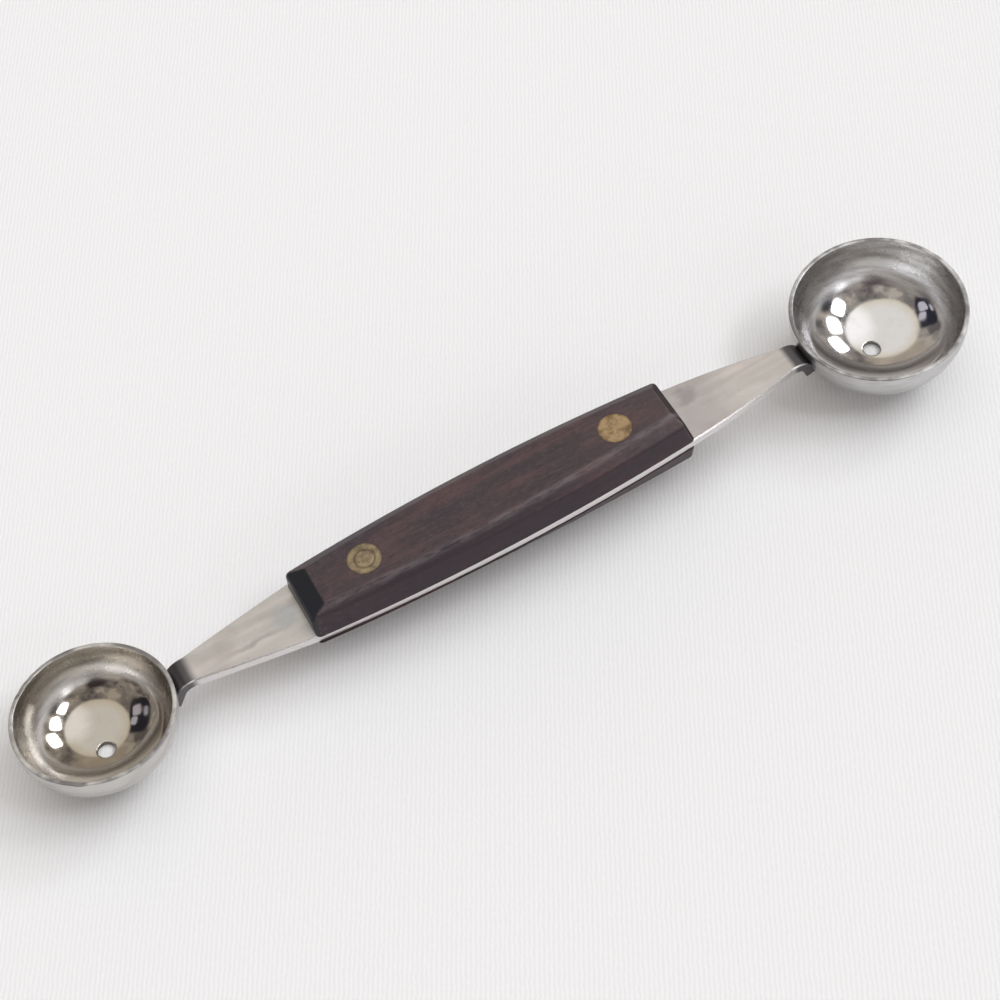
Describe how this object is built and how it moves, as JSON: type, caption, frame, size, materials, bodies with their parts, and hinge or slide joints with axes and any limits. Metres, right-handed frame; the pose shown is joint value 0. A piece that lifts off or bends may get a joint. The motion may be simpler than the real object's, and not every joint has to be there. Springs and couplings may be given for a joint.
{
  "type": "double-ended melon baller",
  "caption": "Hand scoop with a large and a small drained bowl on the bent ends of one steel tang, and a riveted two-scale wooden handle between them.",
  "frame": {"origin": "centre of the box's underside, level with the lowest point of the large bowl", "axes": "+X along the tool towards the large bowl, +Y across it, +Z out of the bowls' mouths; the tang's top face is 12.2 mm up"},
  "size_m": [0.1822, 0.0316, 0.0178],
  "materials": {
    "satin_steel": "satin stainless steel, fine grain along the tool, eased edges",
    "polished_steel": "polished stainless steel with light wear",
    "rosewood": "dark oiled rosewood, worn dull",
    "rivet_brass": "flush-filed brass, dulled and scratched"
  },
  "bodies": {
    "root": {"tang": "satin_steel", "large_bowl": "polished_steel", "small_bowl": "polished_steel", "upper_scale": "rosewood", "lower_scale": "rosewood", "rivet_socket_large_end": "rivet_brass", "rivet_socket_small_end": "rivet_brass", "rivet_pin_large_end": "rivet_brass", "rivet_pin_small_end": "rivet_brass"}
  },
  "joints": []
}
